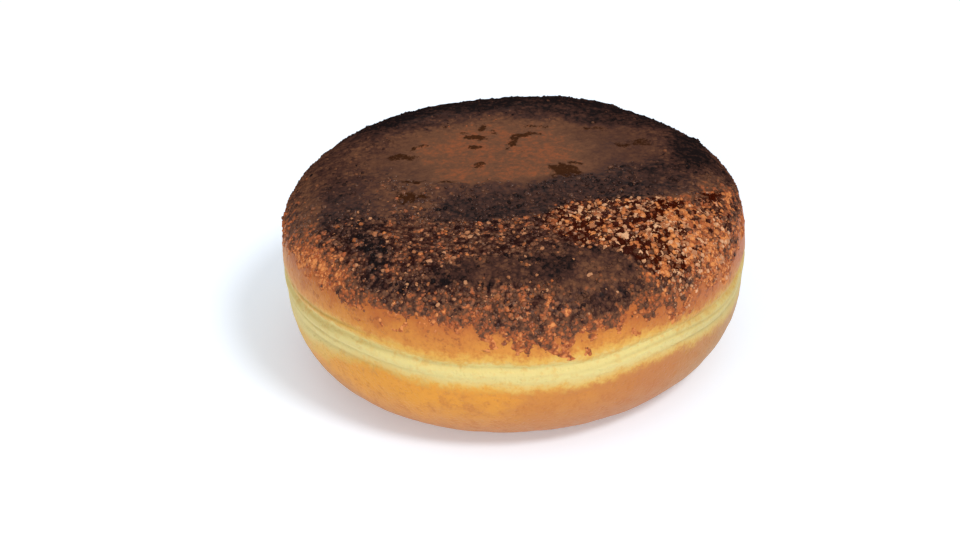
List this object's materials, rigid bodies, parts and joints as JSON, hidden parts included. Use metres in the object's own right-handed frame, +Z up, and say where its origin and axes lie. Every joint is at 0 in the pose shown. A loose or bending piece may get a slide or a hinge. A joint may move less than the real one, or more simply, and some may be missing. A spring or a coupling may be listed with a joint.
{
  "type": "jelly filled doughnut",
  "caption": "Round filled yeast doughnut, lying flat, with a pale ring round its waist and a crust of burnt sugar on its top.",
  "frame": {"origin": "on the table, under the middle of the doughnut", "axes": "+Z up through the crown, -Y towards the front, +X to the right as seen from the front"},
  "size_m": [0.0896, 0.09, 0.0375],
  "materials": {
    "fried_dough": "fried yeast dough, golden brown with a pale unfried ring, soft sheen of fat",
    "burnt_sugar": "burnt sugar, dark brown, smooth where it melted and gritty where it kept its grain"
  },
  "bodies": {
    "root": {"dough": "fried_dough", "sugar_crust": "burnt_sugar"}
  },
  "joints": []
}
